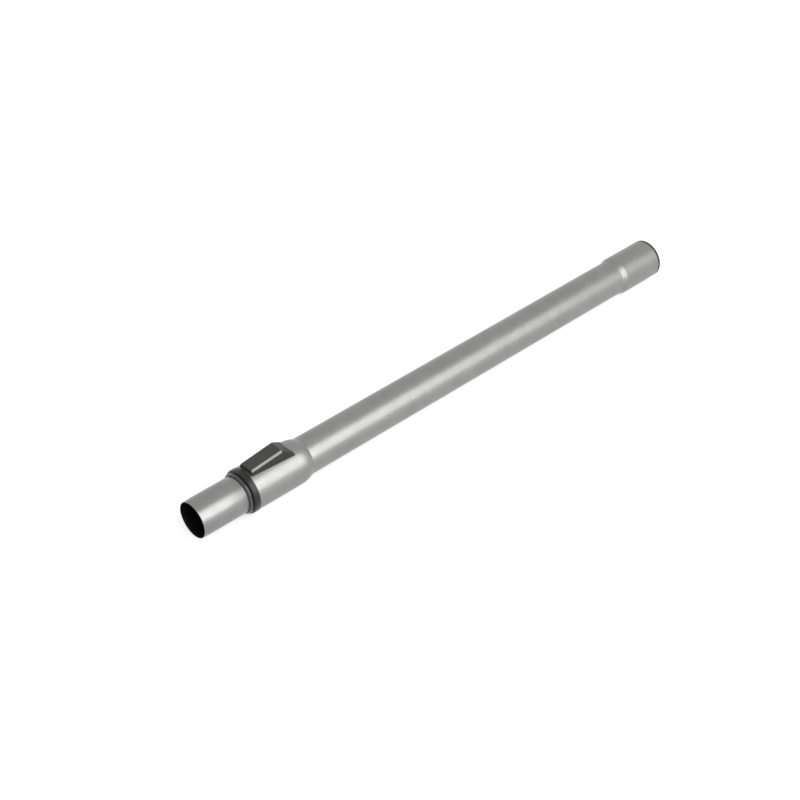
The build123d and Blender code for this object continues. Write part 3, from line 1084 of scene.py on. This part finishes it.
@dataclass
class Studio:
    """Pale floor, white surroundings, two soft lamps in a row and the camera."""

    floor_height: float = -21.0
    floor_half: float = 6000.0
    floor_tone: float = 0.45
    floor_glow: float = 0.62
    azimuth: float = radians(42.86)
    elevation: float = radians(38.63)
    mouth: float = -583.9
    offset: Triple = (174.9, 101.4, 1390.0)
    lens_mm: float = 74.25
    lamp_angle: float = radians(53.0)
    lamp_distance: float = 1.0
    lamp_width: float = 1.02
    lamps: tuple[Triple, ...] = (
        (-0.8, 0.1, 3.3),
        (0.1, 0.38, 2.1),
        (0.38, 0.85, 1.4),
    )
    sky: float = 0.84

    def build(self) -> None:
        """Places the floor, the surroundings, the lamps and the camera."""
        self.place_floor()
        self.place_sky()
        for start, end, radiance in self.lamps:
            self.place_lamp(start, end, radiance)
        self.place_camera()
        bpy.context.scene.view_settings.view_transform = "Standard"
        LOG.info("studio ready")

    def seen_directly(self, nodes: bpy.types.Nodes, links: bpy.types.NodeLinks) -> Socket:
        """1 for a ray from the camera, a reflection or a passage through glass, and 0 for other rays."""
        path = nodes.new("ShaderNodeLightPath")
        result = path.outputs["Is Camera Ray"]
        for ray in ("Is Glossy Ray", "Is Transmission Ray"):
            either = nodes.new("ShaderNodeMath")
            either.operation = "MAXIMUM"
            links.new(result, either.inputs[0])
            links.new(path.outputs[ray], either.inputs[1])
            result = either.outputs[0]
        return result

    def place_floor(self) -> None:
        """A wide plain floor that looks white and keeps a soft shadow."""
        half = self.floor_half
        corners = np.array([(-half, -half), (half, -half), (half, half), (-half, half)])
        points = np.concatenate((corners, np.full((4, 1), self.floor_height)), axis=1)
        mesh = bpy.data.meshes.new("studio_floor")
        mesh.from_pydata(points * MM, [], [(0, 1, 2, 3)])
        floor = bpy.data.objects.new("studio_floor", mesh)
        bpy.context.scene.collection.objects.link(floor)
        material = bpy.data.materials.new("pale_floor")
        material.use_nodes = True
        nodes, links = material.node_tree.nodes, material.node_tree.links
        nodes.clear()
        out = nodes.new("ShaderNodeOutputMaterial")
        both = nodes.new("ShaderNodeAddShader")
        matt = nodes.new("ShaderNodeBsdfDiffuse")
        matt.inputs["Color"].default_value = (*[self.floor_tone] * 3, 1)
        glow = nodes.new("ShaderNodeEmission")
        strength = nodes.new("ShaderNodeMath")
        strength.operation = "MULTIPLY"
        strength.inputs[1].default_value = self.floor_glow
        links.new(self.seen_directly(nodes, links), strength.inputs[0])
        links.new(strength.outputs[0], glow.inputs["Strength"])
        links.new(matt.outputs[0], both.inputs[0])
        links.new(glow.outputs[0], both.inputs[1])
        links.new(both.outputs[0], out.inputs["Surface"])
        mesh.materials.append(material)

    def place_sky(self) -> None:
        """Even surroundings: white to look at and a little lower as light."""
        world = bpy.data.worlds.new("studio_surroundings")
        world.use_nodes = True
        nodes, links = world.node_tree.nodes, world.node_tree.links
        background = nodes["Background"]
        background.inputs["Color"].default_value = (1, 1, 1, 1)
        level = nodes.new("ShaderNodeMapRange")
        level.inputs["To Min"].default_value = self.sky
        level.inputs["To Max"].default_value = 1.0
        links.new(self.seen_directly(nodes, links), level.inputs["Value"])
        links.new(level.outputs["Result"], background.inputs["Strength"])
        bpy.context.scene.world = world

    def place_lamp(self, start: float, end: float, radiance: float) -> None:
        """A soft lamp beside the camera, parallel to the wand; the lamps get weaker towards the socket.

        Args:
            start: Where the lamp starts along X, in metres.
            end: Where it ends along X, in metres.
            radiance: How bright its face looks, where 1 is white.
        """
        light = bpy.data.lights.new("soft_box", "AREA")
        light.shape = "RECTANGLE"
        light.size, light.size_y = end - start, self.lamp_width
        light.energy = radiance * pi * light.size * light.size_y
        lamp = bpy.data.objects.new("soft_box", light)
        outward = Vector((0, -sin(self.lamp_angle), cos(self.lamp_angle)))
        along = Vector((1, 0, 0))
        turn = Matrix((along, outward.cross(along), outward)).transposed()
        middle = Vector(((start + end) / 2, 0, 0)) + outward * self.lamp_distance
        lamp.matrix_world = Matrix.Translation(middle) @ turn.to_4x4()
        bpy.context.scene.collection.objects.link(lamp)

    def place_camera(self) -> None:
        """The camera at the photograph's viewing angle."""
        a, e = self.azimuth, self.elevation
        right = Vector((cos(a), -sin(a), 0))
        back = Vector((-cos(e) * sin(a), -cos(e) * cos(a), sin(e)))
        up = back.cross(right)
        data = bpy.data.cameras.new("camera")
        data.lens = self.lens_mm
        data.sensor_width = 36.0
        data.clip_start = 0.01
        camera = bpy.data.objects.new("camera", data)
        place = Vector((self.mouth, 0, 0)) + sum(
            (axis * length for axis, length in zip((right, up, back), self.offset)), Vector()
        )
        camera.matrix_world = Matrix.Translation(place * MM) @ Matrix((right, up, back)).transposed().to_4x4()
        bpy.context.scene.collection.objects.link(camera)
        bpy.context.scene.camera = camera


def dress_hidden_nodes(effects: Effects) -> None:
    """Gives the pieces inside the wand their finishes."""
    plain = {
        "wiper_seal": MouldedPlastic("wiper_rubber", (0.02, 0.02, 0.02), 0.75, 0.03, 1800.0),
        "guide_sleeve": MouldedPlastic("sleeve_grey", (0.2, 0.2, 0.2), 0.5),
        "slide_carriage": MouldedPlastic("carriage_grey", (0.09, 0.09, 0.09), 0.5),
        "inner_end_bush": MouldedPlastic("bush_black", (0.03, 0.03, 0.03), 0.5),
        "inner_end_seal": MouldedPlastic("felt_ring", (0.06, 0.055, 0.05), 0.9, 0.06, 1500.0),
    }
    for node, finish in plain.items():
        dress_node(node, finish.build(effects))
    dress_node("lock_roller", SatinSteel("ground_roller", (0.5, 0.5, 0.5), 0.25, 0.04).build(effects))


def main() -> None:
    """Builds the wand's pieces and the studio."""
    logging.basicConfig(level=logging.INFO, format="%(message)s")
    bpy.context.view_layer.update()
    effects = Effects(grain_effect(), skin_effect(), dust_and_top_light_effect(), scuff_effect())
    steel = SatinSteel("satin_steel", (0.257, 0.257, 0.25), 0.38).build(effects)
    male_steel = SatinSteel("satin_steel_inner", (0.242, 0.242, 0.24), 0.35).build(effects)
    # Near-black steel inside the tube: painted shade for the dark bore, on a rougher finish.
    bore = SatinSteel("rough_bore_painted_shade", (0.02, 0.02, 0.02), 0.6, marks=False).build(effects)
    black = MouldedPlastic("collar_black", (0.006, 0.006, 0.0055), 0.36, shine=0.38).build(effects)
    lip_rubber = MouldedPlastic("lip_rubber", (0.005, 0.005, 0.0045), 0.15, 0.006, shine=1.0).build(effects)
    # The button's up-facing faces turn lighter: a dusty film and painted light from above together.
    button_black = MouldedPlastic(
        "button_black", (0.008, 0.0076, 0.0066), 0.5, shine=0.42, dust_and_top_light_tone=(0.029, 0.028, 0.0245)
    ).build(effects)
    # Chamfer strip: real gloss, with a light colour that is a painted highlight.
    glossy_painted_highlight = MouldedPlastic("glossy_edge_painted_highlight", (0.11, 0.107, 0.098), 0.3, 0.008, shine=1.0).build(effects)
    liner_black = MouldedPlastic("liner_black", (0.008, 0.008, 0.008), 0.5, shine=0.4).build(effects)
    OuterTube(steel).build()
    InnerTube(male_steel, bore).build()
    Collar(black, lip_rubber).build()
    SlideButton(button_black, glossy_painted_highlight).build()
    SocketLiner(liner_black).build()
    ReturnSprings(SatinSteel("spring_wire", (0.42, 0.42, 0.42), 0.3, 0.04).build(effects)).build()
    dress_hidden_nodes(effects)
    Studio().build()
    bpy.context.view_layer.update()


if __name__ == "__main__":
    main()
